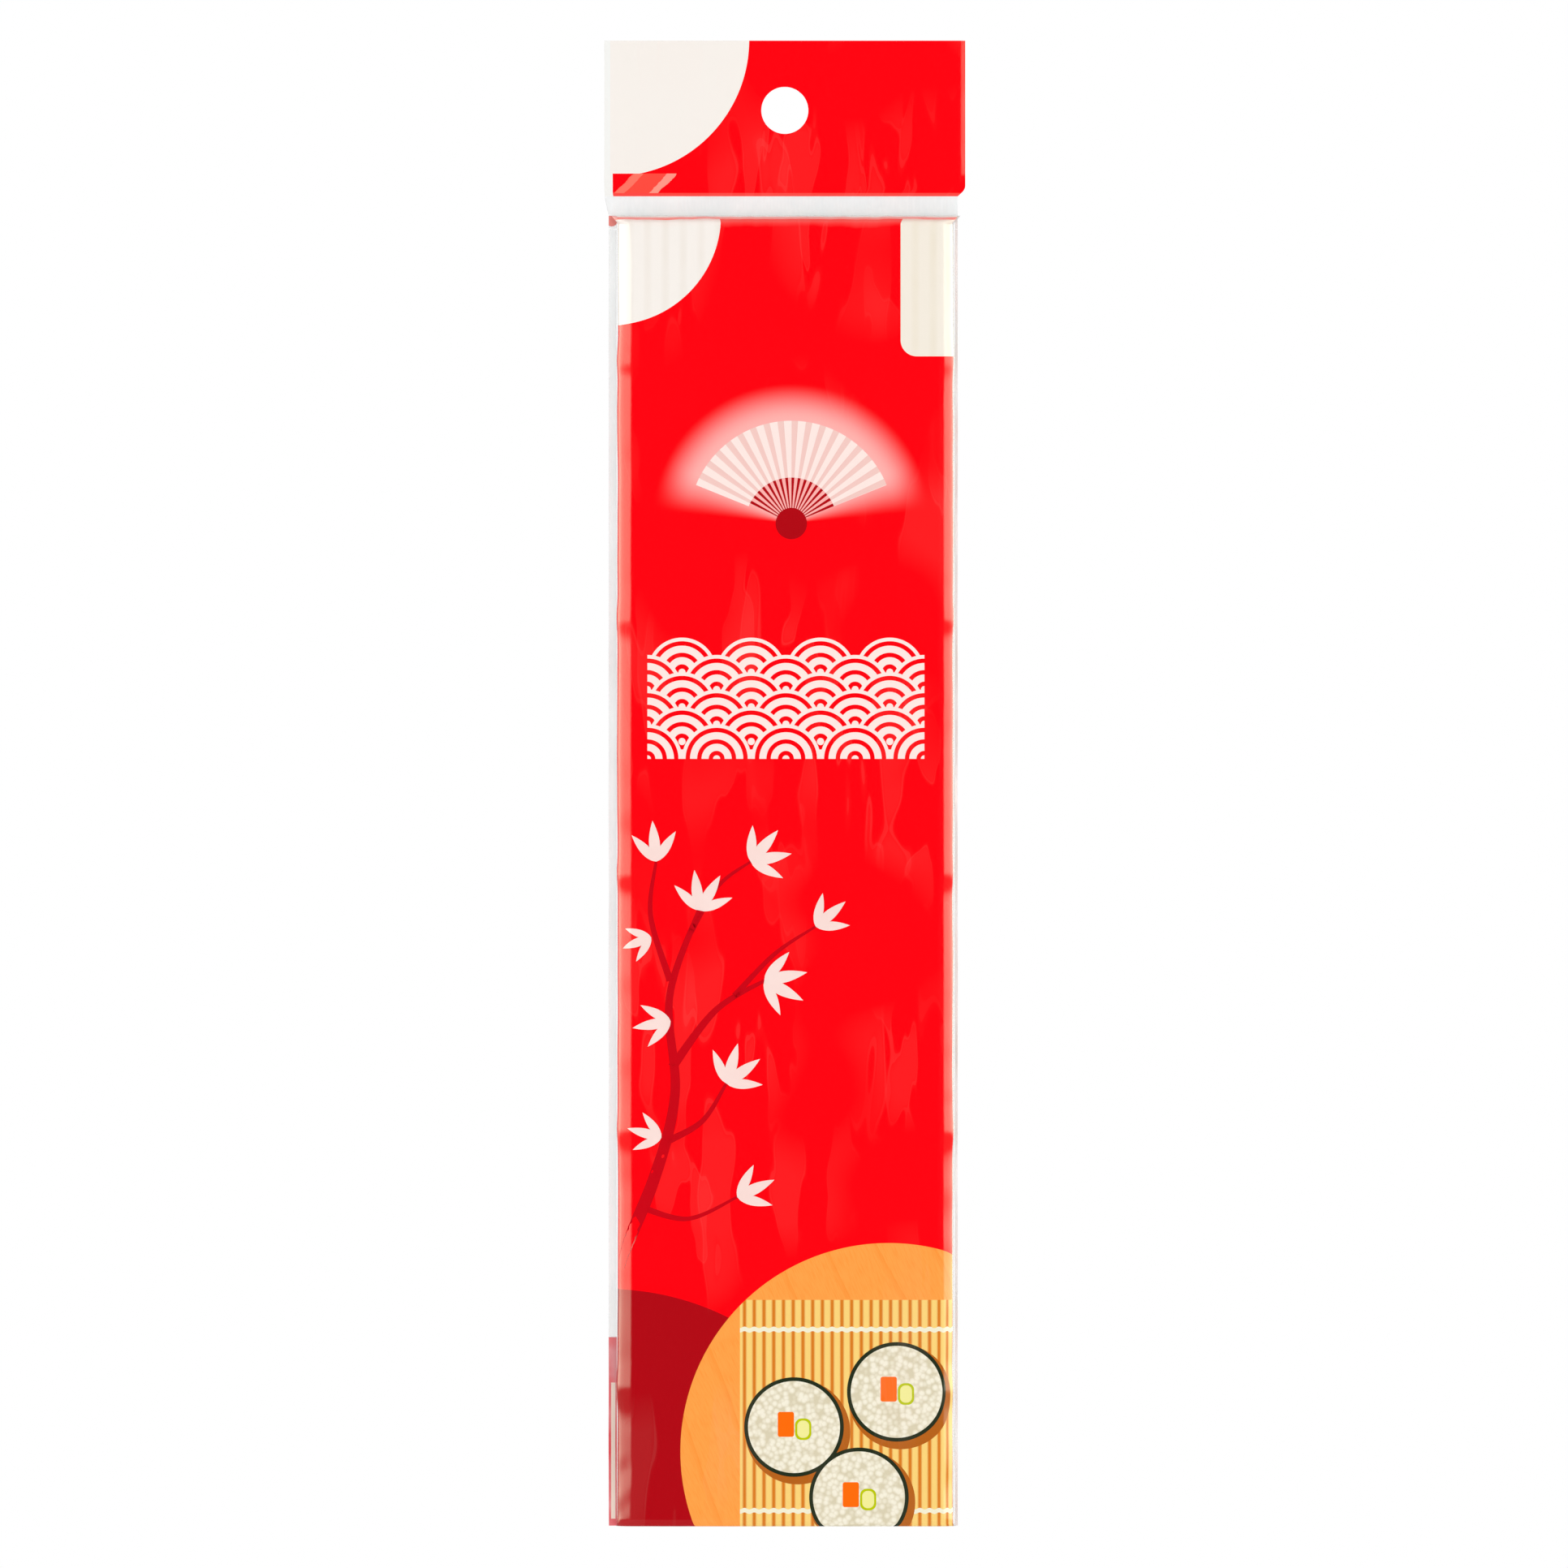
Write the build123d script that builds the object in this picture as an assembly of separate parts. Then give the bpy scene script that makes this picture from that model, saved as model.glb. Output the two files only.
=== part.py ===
from build123d import *
import math
import os

os.makedirs("parts", exist_ok=True)

# A bamboo rolling mat, rolled flat in four layers, in a sealed film bag with a header to hang it by.
# Lengths are in millimetres. The origin is the centre of the hanging hole, halfway through the film.
# +Z is up, +X is to the right seen from the front, and the front faces -Y.

# Bamboo slats
slat_length = 240.0
slat_width = 2.6
slat_thickness = 1.3
slat_edge_round = 0.35
slats_per_node = 2

# Cotton cords, two to a row, that pass over and under the slats by turns
cord_diameter = 0.38
cord_clearance = 0.03
cord_side_play = 0.16
cord_row_count = 5
cord_row_inset = 25.0
cords_per_row = 2
knot_radius = 0.9

# The flat roll: layers are numbered from the innermost one
full_run_gaps = 16
inner_run_gaps = 15
outer_run_gaps = 15
inner_fold_setback = 1.0
layer_clearance = 0.02
turn_slack_share = 1.45
folded_back_share = 0.1

# Film bag
film_wall = 0.2
bag_clearance = 0.45
bag_offset = 0.2
left_weld_width = 1.5
right_weld_width = 0.5
bottom_fold_height = 2.0
bottom_edge_round = 0.5
mat_foot_play = 0.5
mat_head_play = 0.2
tear_gap = 0.1

# Shoulder and crimped seal
collar_height = 0.9
shoulder_height = 1.5
seal_height = 3.6
rib_pitch = 1.28
rib_depth = 0.15

# Header
header_width = 66.8
header_height = 28.8
header_taper_height = 1.2
header_corner_round = 0.6
hole_radius = 4.35
hole_drop = 12.9
fold_radius = 0.3
fold_clearance = 0.05

# Sizes that follow from the ones above
cord_radius = cord_diameter / 2
slat_pitch = slat_width + cord_diameter + 2 * cord_side_play
cord_height = slat_thickness / 2 + cord_clearance + cord_radius
cord_reach = cord_height + cord_radius
cord_shift = cord_radius + cord_clearance / 2
cord_bend = slat_edge_round + cord_radius + cord_clearance
turn_bend = turn_slack_share * cord_bend
layer_pitch = 2 * cord_reach + layer_clearance

outer_turn_radius = 3 * layer_pitch / 2
left_turn_radius = 2 * layer_pitch / 2
roll_run = full_run_gaps * slat_pitch + inner_fold_setback
roll_width = roll_run + left_turn_radius + outer_turn_radius + 2 * cord_reach
roll_depth = 2 * (outer_turn_radius + cord_reach)

bag_inner_width = roll_width + 2 * bag_clearance
bag_inner_depth = roll_depth + 2 * bag_clearance
bag_inner_round = left_turn_radius + cord_reach + bag_clearance
bag_width = bag_inner_width + 2 * film_wall
bag_depth = bag_inner_depth + 2 * film_wall
bag_round = bag_inner_round + film_wall
bag_left = bag_offset - bag_width / 2
bag_right = bag_offset + bag_width / 2
weld_left = bag_left - left_weld_width
weld_right = bag_right + right_weld_width
weld_thickness = 2 * film_wall

roll_right = bag_offset + roll_width / 2 - cord_reach - outer_turn_radius
roll_left = roll_right - roll_run
inner_fold_x = roll_right - inner_fold_setback

# Heights, from the top down
header_top = hole_drop
seal_top = header_top - header_height
seal_bottom = seal_top - seal_height
shoulder_bottom = seal_bottom - shoulder_height
mat_top = shoulder_bottom - mat_head_play
mat_bottom = mat_top - slat_length
bag_bottom = mat_bottom - mat_foot_play - film_wall
tear_level = shoulder_bottom - collar_height
bag_mouth = tear_level - tear_gap
bottom_fold_top = bag_bottom + bottom_fold_height
fold_level = seal_top + fold_radius
header_bottom = fold_level + fold_radius + fold_clearance


def save(shape, name):
    export_step(shape, f"parts/{name}.step")


def block(x0, x1, y0, y1, z0, z1):
    low = (x0, y0, z0)
    return Pos(*low) * Box(x1 - x0, y1 - y0, z1 - z0, align=(Align.MIN, Align.MIN, Align.MIN))


# The slats along the roll

def turned(angle):
    return Vector(1, 0, 0).rotate(Axis.Z, angle)


def layer_level(layer):
    outward = 1 if layer % 2 == 0 else -1
    return outward * (2 * (layer // 2) + 1) * layer_pitch / 2


def roll_places():
    """Each slat's centre and the angle of its outward normal, from the mat's inner end to its outer end."""
    starts = [inner_fold_x - inner_run_gaps * slat_pitch, inner_fold_x, roll_left, roll_right]
    ends = [inner_fold_x, roll_left, roll_right, roll_right - outer_run_gaps * slat_pitch]
    gaps = [inner_run_gaps, full_run_gaps, full_run_gaps, outer_run_gaps]
    places = []
    for layer, (start, end, count) in enumerate(zip(starts, ends, gaps)):
        normal = 90 if layer % 2 == 0 else -90
        for n in range(count + 1):
            x = start + (end - start) * n / count
            places.append((Vector(x, layer_level(layer), 0), normal))
        slats_round_turn = layer + 1
        if slats_round_turn < len(gaps):
            radius = slats_round_turn * layer_pitch / 2
            centre = Vector(end, (layer_level(layer) + layer_level(layer + 1)) / 2, 0)
            for n in range(1, slats_round_turn):
                angle = normal - n * 180 / slats_round_turn
                places.append((centre + turned(angle) * radius, angle))
    return places


def slat(place):
    centre, normal = place
    section = RectangleRounded(slat_width, slat_thickness, slat_edge_round)
    return Pos(centre.X, centre.Y, mat_bottom) * Rot(0, 0, normal - 90) * extrude(section, slat_length)


# The cords that twine the slats together

def cord_side(index, strand):
    return 1 if (index + strand) % 2 == 0 else -1


def gap_corner(place, neighbour, side, forward):
    """Where a cord that lies on one side of a slat turns into the gap towards the slat's neighbour."""
    centre, normal = place
    along = turned(normal - 90) * forward
    way = neighbour[0] - centre
    chord = way.length
    way = way.normalized()
    face = centre + turned(normal) * (side * cord_height)
    closing = along.dot(way)
    if closing < folded_back_share:
        return face + along * (slat_pitch / 2), cord_bend
    reach = (chord / 2 - side * cord_height * turned(normal).dot(way)) / closing
    in_a_turn = side > 0 and normal != neighbour[1]
    return face + along * reach, turn_bend if in_a_turn else cord_bend


def end_corner(place, side, forward):
    centre, normal = place
    along = turned(normal - 90) * forward
    return centre + turned(normal) * (side * cord_height) + along * (slat_pitch / 2)


def knot_centre(place, forward):
    centre, normal = place
    return centre + turned(normal - 90) * (forward * (slat_pitch / 2 + knot_radius))


def cord_end(place, side, forward):
    """A cord's last point, halfway into the knot that ties the two cords of a row."""
    centre = knot_centre(place, forward)
    corner = end_corner(place, side, forward)
    return centre + (corner - centre).normalized() * (knot_radius / 2)


def cord_route(places, strand):
    last = len(places) - 1
    first_side = cord_side(0, strand)
    last_side = cord_side(last, strand)
    points = [cord_end(places[0], first_side, -1), end_corner(places[0], first_side, -1)]
    bends = [cord_bend]
    for n in range(last):
        for here, there, forward in ((n, n + 1, 1), (n + 1, n, -1)):
            point, bend = gap_corner(places[here], places[there], cord_side(here, strand), forward)
            points.append(point)
            bends.append(bend)
    points.append(end_corner(places[last], last_side, 1))
    bends.append(cord_bend)
    points.append(cord_end(places[last], last_side, 1))
    return points, bends


def rounded_path(points, bends):
    """Straight runs joined by tangent arcs, one arc for each inner point."""
    edges = []
    here = points[0]
    for n, bend in enumerate(bends):
        before, corner, after = points[n], points[n + 1], points[n + 2]
        arriving = (corner - before).normalized()
        leaving = (after - corner).normalized()
        turn = math.radians(arriving.get_angle(leaving))
        trim = bend * math.tan(turn / 2)
        arc_start = corner - arriving * trim
        arc_end = corner + leaving * trim
        inward = (leaving - arriving).normalized()
        middle = corner + inward * (bend / math.cos(turn / 2) - bend)
        edges.append(Edge.make_line(here, arc_start))
        edges.append(Edge.make_three_point_arc(arc_start, middle, arc_end))
        here = arc_end
    edges.append(Edge.make_line(here, points[-1]))
    return Wire(edges)


def cord_level(row, strand):
    span = slat_length - 2 * cord_row_inset
    shift = cord_shift if strand == 0 else -cord_shift
    return mat_bottom + cord_row_inset + span * row / (cord_row_count - 1) + shift


def cord(route, level):
    section = Plane(origin=route @ 0, z_dir=route % 0) * Circle(cord_radius)
    return Pos(0, 0, level) * sweep(section, path=route)


def knot(place, row, forward, strand_sides):
    """A ball knot with a snug channel for the end of each cord."""
    centre = knot_centre(place, forward)
    level = cord_level(row, 0) - cord_shift
    ball = Pos(centre.X, centre.Y, level) * Sphere(knot_radius)
    for strand, side in enumerate(strand_sides):
        tip = cord_end(place, side, forward)
        way = (end_corner(place, side, forward) - centre).normalized()
        mouth = tip - way * cord_clearance
        origin = (mouth.X, mouth.Y, cord_level(row, strand))
        channel = Plane(origin=origin, z_dir=way) * Circle(cord_radius + cord_clearance)
        ball -= extrude(channel, knot_radius)
    return ball


# The film bag

def film_tube(z0, z1):
    outer = RectangleRounded(bag_width, bag_depth, bag_round)
    inner = RectangleRounded(bag_inner_width, bag_inner_depth, bag_inner_round)
    return Pos(bag_offset, 0, z0) * extrude(outer - inner, z1 - z0)


def half(shape, front):
    box = shape.bounding_box()
    y0, y1 = (box.min.Y, 0) if front else (0, box.max.Y)
    return shape & block(box.min.X, box.max.X, y0, y1, box.min.Z, box.max.Z)


def side_weld(x0, x1):
    return block(x0, x1, -film_wall, film_wall, bag_bottom, bag_mouth)


def bottom_fold():
    height = bottom_fold_height
    outer = extrude(RectangleRounded(bag_width, bag_depth, bag_round), height)
    outer = fillet(outer.faces().sort_by(Axis.Z)[0].edges(), bottom_edge_round)
    inner = extrude(RectangleRounded(bag_inner_width, bag_inner_depth, bag_inner_round), height)
    inner = fillet(inner.faces().sort_by(Axis.Z)[0].edges(), bottom_edge_round - film_wall)
    return Pos(bag_offset, 0, bag_bottom) * (outer - Pos(0, 0, film_wall) * inner)


def shoulder_film():
    """The film closes from the mouth of the bag to the flat seal above it."""
    seal_width = weld_right - weld_left
    seal_centre = (weld_right + weld_left) / 2
    low = RectangleRounded(bag_width, bag_depth, bag_round)
    low_inner = RectangleRounded(bag_inner_width, bag_inner_depth, bag_inner_round)
    high = RectangleRounded(seal_width, weld_thickness, film_wall / 2)
    high_inner = RectangleRounded(bag_inner_width, film_wall, film_wall / 4)
    below = Pos(bag_offset, 0, shoulder_bottom)
    outer = loft([below * low, Pos(seal_centre, 0, seal_bottom) * high], ruled=True)
    inner = loft([below * low_inner, Pos(bag_offset, 0, seal_bottom - film_wall) * high_inner], ruled=True)
    return (outer - inner) + film_tube(tear_level, shoulder_bottom)


def crimp_seal():
    """The two films pressed together in upright ribs."""
    width = weld_right - weld_left
    steps = 2 * math.floor(width / rib_pitch)
    ridge = [(weld_left + width * n / steps, rib_depth / 2 * (-1) ** n) for n in range(steps + 1)]
    front = [(x, y - film_wall) for x, y in ridge]
    back = [(x, y + film_wall) for x, y in reversed(ridge)]
    outline = make_face(Polyline(*front, *back, close=True))
    return Pos(0, 0, seal_bottom) * extrude(outline, seal_height)


def fold_line():
    """The crease that the header bends about, along the top of the seal."""
    rod = Cylinder(fold_radius, weld_right - weld_left, rotation=(0, 90, 0))
    return Pos((weld_left + weld_right) / 2, 0, fold_level) * rod


def header_film(front):
    half_width = header_width / 2
    taper_top = header_bottom + header_taper_height
    outline = [
        (weld_left, header_bottom),
        (weld_right, header_bottom),
        (half_width, taper_top),
        (half_width, header_top),
        (-half_width, header_top),
        (-half_width, taper_top),
    ]
    sheet = make_face(Polyline(*outline, close=True))
    top_corners = sheet.vertices().group_by(Axis.Y)[-1]
    sheet = fillet(top_corners, header_corner_round) - Circle(hole_radius)
    film = extrude(Plane.XZ * sheet, film_wall)
    return film if front else Pos(0, film_wall, 0) * film


places = roll_places()
for first in range(0, len(places), slats_per_node):
    group = places[first:first + slats_per_node]
    numbers = [f"{first + n + 1:02d}" for n in range(len(group))]
    save(Compound([slat(place) for place in group]), "slat_" + "_".join(numbers))

for strand in range(cords_per_row):
    route = rounded_path(*cord_route(places, strand))
    for row in range(cord_row_count):
        save(cord(route, cord_level(row, strand)), f"cord_{row + 1}{'ab'[strand]}")

rows = range(cord_row_count)
inner_sides = [cord_side(0, strand) for strand in range(cords_per_row)]
outer_sides = [cord_side(len(places) - 1, strand) for strand in range(cords_per_row)]
save(Compound([knot(places[0], row, -1, inner_sides) for row in rows]), "inner_end_knots")
save(Compound([knot(places[-1], row, 1, outer_sides) for row in rows]), "outer_end_knots")

body_film = film_tube(bottom_fold_top, bag_mouth)
save(half(body_film, True), "front_film")
save(half(body_film, False), "back_film")
save(side_weld(weld_left, bag_left), "left_side_weld")
save(side_weld(bag_right, weld_right), "right_side_weld")
save(bottom_fold(), "bottom_fold")

shoulder = shoulder_film()
save(half(shoulder, True), "front_shoulder")
save(half(shoulder, False), "back_shoulder")
save(crimp_seal(), "crimp_seal")
save(fold_line(), "fold_line")
save(header_film(True), "header_front_film")
save(header_film(False), "header_back_film")

print("slats", len(places), "mat length", round((len(places) - 1) * slat_pitch + slat_width, 1))
print("roll", round(roll_width, 2), "by", round(roll_depth, 2))
print("bag", round(bag_width, 2), "by", round(bag_depth, 2))
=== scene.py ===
import bpy
import bmesh
import math
from mathutils import Matrix, Vector, noise


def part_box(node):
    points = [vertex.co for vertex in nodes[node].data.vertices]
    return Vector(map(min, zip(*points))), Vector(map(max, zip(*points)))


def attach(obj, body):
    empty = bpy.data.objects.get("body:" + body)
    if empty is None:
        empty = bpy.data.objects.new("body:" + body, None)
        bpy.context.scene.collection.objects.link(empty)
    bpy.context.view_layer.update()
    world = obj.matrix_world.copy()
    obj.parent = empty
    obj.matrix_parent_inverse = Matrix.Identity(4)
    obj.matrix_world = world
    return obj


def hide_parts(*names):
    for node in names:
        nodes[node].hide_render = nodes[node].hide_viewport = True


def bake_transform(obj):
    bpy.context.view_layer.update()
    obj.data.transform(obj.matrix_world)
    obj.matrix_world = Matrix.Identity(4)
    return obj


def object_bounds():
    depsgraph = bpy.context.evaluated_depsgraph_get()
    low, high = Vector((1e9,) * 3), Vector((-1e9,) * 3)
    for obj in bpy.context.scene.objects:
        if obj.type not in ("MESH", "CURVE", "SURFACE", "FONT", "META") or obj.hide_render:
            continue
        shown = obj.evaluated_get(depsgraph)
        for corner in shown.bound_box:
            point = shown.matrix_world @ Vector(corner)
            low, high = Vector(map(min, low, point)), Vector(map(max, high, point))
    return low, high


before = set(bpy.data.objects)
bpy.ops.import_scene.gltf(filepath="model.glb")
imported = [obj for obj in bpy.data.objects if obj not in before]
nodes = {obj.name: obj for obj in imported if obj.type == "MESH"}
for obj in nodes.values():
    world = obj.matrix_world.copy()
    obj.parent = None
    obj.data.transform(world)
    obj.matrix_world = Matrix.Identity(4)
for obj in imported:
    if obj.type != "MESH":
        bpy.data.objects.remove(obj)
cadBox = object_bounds()
scene = bpy.context.scene
scene.view_settings.view_transform = "Standard"
mm = 0.001
print("frame loaded:", len(nodes), "nodes")


def linearColour(hexColour, alpha=1.0):
    channels = [int(hexColour[i:i + 2], 16) / 255 for i in (1, 3, 5)]
    straight = [c / 12.92 if c <= 0.04045 else ((c + 0.055) / 1.055) ** 2.4 for c in channels]
    return (*straight, alpha)


# Camera: the photograph's straight front view
cameraSettings = {
    "distance": 4.0,
    "photoPixels": 1932,
    "pixelSize": 0.15 * mm,
    "holePixel": (967, 135),  # the hanging hole, where the frame has its origin
    "sensor": 36.0,
    "clipStart": 0.01,
}


def addObject(name, data):
    made = bpy.data.objects.new(name, data)
    scene.collection.objects.link(made)
    return made


def makeCamera(c):
    data = bpy.data.cameras.new("camera")
    camera = addObject("camera", data)
    middle = c["photoPixels"] / 2
    x = (middle - c["holePixel"][0]) * c["pixelSize"]
    z = (c["holePixel"][1] - middle) * c["pixelSize"]
    camera.location = (x, -c["distance"], z)
    camera.rotation_euler = (math.radians(90), 0, 0)
    seenWidth = c["photoPixels"] * c["pixelSize"]
    data.sensor_width = c["sensor"]
    data.lens = c["sensor"] * (c["distance"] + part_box("front_film")[0].y) / seenWidth
    data.clip_start = c["clipStart"]
    scene.camera = camera


makeCamera(cameraSettings)


def feed(tree, node, inputs):
    # links the outputs of other nodes and sets plain values
    for key, value in inputs.items():
        if isinstance(value, bpy.types.NodeSocket):
            tree.links.new(value, node.inputs[key])
        else:
            node.inputs[key].default_value = value


def addNode(tree, kind, inputs=None, **settings):
    # adds a node with its settings, values and links, and gives its outputs
    node = tree.nodes.new(kind)
    for key, value in settings.items():
        setattr(node, key, value)
    feed(tree, node, inputs or {})
    return node.outputs


def maths(tree, operation, *values):
    return addNode(tree, "ShaderNodeMath", dict(enumerate(values)), operation=operation)[0]


def vectorMaths(tree, operation, *values):
    return addNode(tree, "ShaderNodeVectorMath", dict(enumerate(values)), operation=operation)


def axesOf(tree, place):
    return addNode(tree, "ShaderNodeSeparateXYZ", {0: place})


def cloudNoise(tree, place, size, detail, distortion=0.0):
    # a soft noise, whose patches are about this large
    return addNode(tree, "ShaderNodeTexNoise",
                   {"Vector": place, "Scale": 1 / size, "Detail": detail, "Distortion": distortion})[0]


def raised(tree, height, strength, depth):
    return addNode(tree, "ShaderNodeBump", {"Height": height, "Strength": strength, "Distance": depth})[0]


def newMaterial(name):
    material = bpy.data.materials.new(name)
    material.use_nodes = True
    tree = material.node_tree
    return material, tree, tree.nodes["Principled BSDF"]


def layInk(tree, under, mask, colour):
    # lays a colour over what is under it, as far as the mask says
    ink = linearColour(colour) if isinstance(colour, str) else colour
    return addNode(tree, "ShaderNodeMix", {0: mask, 6: under, 7: ink}, data_type="RGBA")[2]


def both(tree, first, second):
    # where both masks are, or one mask at a lower strength
    return maths(tree, "MULTIPLY", first, second)


def fadeBetween(tree, value, low, high, least=0.0, most=1.0, way="LINEAR"):
    # goes from the least to the most while the value goes from low to high
    return addNode(tree, "ShaderNodeMapRange", {0: value, 1: low, 2: high, 3: least, 4: most},
                   interpolation_type=way)[0]


# Light: a soft white studio. Gloss mirrors one long light strip on each side, so that flat film stays deep
# and its rolled edges shine.
studio = {
    "fill": 0.7,
    "stripShine": 4.2,
    "roomShine": 0.3,
    "endShine": 0.008,
    "stripTop": (0.26, 0.12),  # where the strip has ended and begins to fade
    "stripFoot": (-0.062, -0.012),
    "stripWarmth": "#FFFFE4",
    "stripFront": (-0.74, -0.6),  # towards the camera
    "stripBack": (0.72, 0.95),
    "stripTurn": 0.16,  # the right strip stands further back
    "floorDrop": 0.34,  # the opened bag hangs this far below the header
    "floorHalf": 2.0,
    "floorColour": "#F4F3F1",
    "floorMirrored": "#84827E",  # what gloss sees of the floor, so that red film stays red from above
    "floorRoughness": 0.9,
    "floorGlow": 0.6,  # what the camera alone sees, so that the floor is as white as the wall
    "lamps": {
        "leftBox": {"place": (-1.1, -0.55, 0.0), "size": (1.7, 0.9), "power": 7.0},
        "rightBox": {"place": (1.1, -0.55, -0.05), "size": (1.7, 0.9), "power": 7.0},
        "backBox": {"place": (0.3, 1.3, 0.7), "size": (1.2, 1.0), "power": 7.0},
    },
}


def makeWorld(s):
    world = bpy.data.worlds.new("studio")
    scene.world = world
    world.use_nodes = True
    tree = world.node_tree
    tree.nodes.clear()
    direction = addNode(tree, "ShaderNodeTexCoord")["Generated"]
    axes = axesOf(tree, direction)
    turned = maths(tree, "MULTIPLY_ADD", axes["X"], -s["stripTurn"], axes["Y"])
    front = fadeBetween(tree, turned, *s["stripFront"])
    back = fadeBetween(tree, turned, *reversed(s["stripBack"]))
    aside = both(tree, front, back)
    top = fadeBetween(tree, axes["Z"], *s["stripTop"])
    foot = fadeBetween(tree, axes["Z"], *s["stripFoot"])
    strip = fadeBetween(tree, both(tree, top, foot), 0.0, 1.0, s["roomShine"], s["stripShine"])
    shine = maths(tree, "MULTIPLY_ADD", strip, aside, s["endShine"])
    rays = addNode(tree, "ShaderNodeLightPath")
    seen = maths(tree, "MAXIMUM", rays["Is Camera Ray"], rays["Is Transmission Ray"])
    lit = addNode(tree, "ShaderNodeMix", {0: rays["Is Glossy Ray"], 2: s["fill"], 3: shine})[0]
    strength = addNode(tree, "ShaderNodeMix", {0: seen, 2: lit, 3: 1.0})[0]
    warm = layInk(tree, (1, 1, 1, 1), rays["Is Glossy Ray"], s["stripWarmth"])
    background = addNode(tree, "ShaderNodeBackground", {"Color": warm, "Strength": strength})[0]
    addNode(tree, "ShaderNodeOutputWorld", {"Surface": background})


def makeLamps(lamps):
    target = Vector((0, 0, (cadBox[0].z + cadBox[1].z) / 2))
    for name, lamp in lamps.items():
        data = bpy.data.lights.new(name, "AREA")
        data.shape = "RECTANGLE"
        data.size, data.size_y = lamp["size"]
        data.energy = lamp["power"]
        light = addObject(name, data)
        light.location = lamp["place"]
        light.visible_glossy = False  # the strips in the world shine instead
        light.rotation_euler = (target - light.location).to_track_quat("-Z", "Y").to_euler()


# Floor: matt emulsion paint, rolled on, so it has no shine and only carries the shadow
def makeFloor(s):
    bm = bmesh.new()
    bmesh.ops.create_grid(bm, x_segments=1, y_segments=1, size=s["floorHalf"])
    bmesh.ops.translate(bm, verts=bm.verts, vec=(0, 0, cadBox[0].z - s["floorDrop"]))
    mesh = bpy.data.meshes.new("floor")
    bm.to_mesh(mesh)
    bm.free()
    floor = addObject("floor", mesh)
    material, tree, shader = newMaterial("paintedStudioFloor")
    rays = addNode(tree, "ShaderNodeLightPath")
    paint = layInk(tree, linearColour(s["floorColour"]), rays["Is Glossy Ray"], s["floorMirrored"])
    glow = maths(tree, "MULTIPLY", rays["Is Camera Ray"], s["floorGlow"])
    feed(tree, shader, {"Base Color": paint, "Roughness": s["floorRoughness"],
                        "Emission Color": (1, 1, 1, 1), "Emission Strength": glow})
    floor.data.materials.append(material)


makeWorld(studio)
makeLamps(studio["lamps"])
makeFloor(studio)
print("camera, light and floor made")


# Print: drawn on each film's flat print map, so all its sizes and places are in millimetres

waveScale = math.pi / 10  # a wave texture of scale 1 repeats at this length


def printedDisc(tree, place, centre, radius):
    # a mask that is one inside the disc
    away = vectorMaths(tree, "DISTANCE", place, (*centre, 0))["Value"]
    return maths(tree, "LESS_THAN", away, radius)


def printedTab(tree, place, centre, half, corner):
    # a mask that is one inside a rounded rectangle
    shifted = vectorMaths(tree, "SUBTRACT", place, (*centre, 0))[0]
    folded = vectorMaths(tree, "ABSOLUTE", shifted)[0]
    core = (half[0] - corner, half[1] - corner, 0)
    beyond = vectorMaths(tree, "SUBTRACT", folded, core)[0]
    outside = vectorMaths(tree, "MAXIMUM", beyond, (0, 0, 0))[0]
    away = vectorMaths(tree, "LENGTH", outside)["Value"]
    return maths(tree, "LESS_THAN", away, corner)


printColours = {
    "red": "#FF000E",
    "deepRed": "#B00814",
    "branch": "#D00417",
    "branchWorn": "#C40616",
    "blush": "#FBE6E0",
    "blushWorn": "#F5D3CC",
    "pleatShade": "#F2C9C2",
    "milk": "#F5EFE9",
    "milkShade": "#E4DACE",
    "cream": "#F2EADD",
    "creamShade": "#E4D8BE",
    "board": "#FFA24A",
    "boardGrain": "#F58528",
    "boardShadow": "#B5621C",
    "slat": "#F8D27A",
    "slatGap": "#D87A20",
    "cord": "#F1ECD2",
    "seaweed": "#26301F",
    "rice": "#F4EEDB",
    "riceShade": "#D9CFB2",
    "carrot": "#FF6B08",
    "cucumber": "#F1EC98",
    "cucumberSkin": "#B9C400",
    # the pale top haze and pink top line are print edge and partly painted highlight on the film's shoulder
    "topHazeHighlight": "#FFC9BE",
    "topFilm": "#FBEFE4",
    "topEdgeHighlight": "#FF8F86",
    "topScrap": "#FBA39D",
    "headerFoot": "#FF4B45",
    "headerMargin": "#F3F3F0",
}

slatShadow = {
    "pitch": 3.3,
    "start": -0.2,  # of the wave from slat to slat
    "strength": 0.5,
    "cloud": 8.333,
}


def slatShade(tree, place, colour, shade, k):
    # the slats behind pale ink show as soft upright stripes, stronger where the film lies close to them
    along = axesOf(tree, place)["X"]
    turn = 2 * math.pi / k["pitch"]
    wave = maths(tree, "SINE", maths(tree, "MULTIPLY", along, turn))
    depth = fadeBetween(tree, wave, k["start"], 1.0, 0.0, k["strength"])
    cloud = cloudNoise(tree, place, k["cloud"], 2.0)
    return layInk(tree, linearColour(colour), both(tree, depth, cloud), shade)


fanDrawing = {
    "centre": (1.0, -76.5),
    "outer": 19.0,
    "inner": 8.5,
    "spread": math.radians(68),  # to either side
    "pleats": 17,
    "stickLevel": 0.15,  # of a pleat's wave
    "halo": 7.0,
    "haloStrength": 0.55,
    "haloFade": (1.25, 0.9),  # shares of the spread
    "pivot": 2.9,
}


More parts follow.
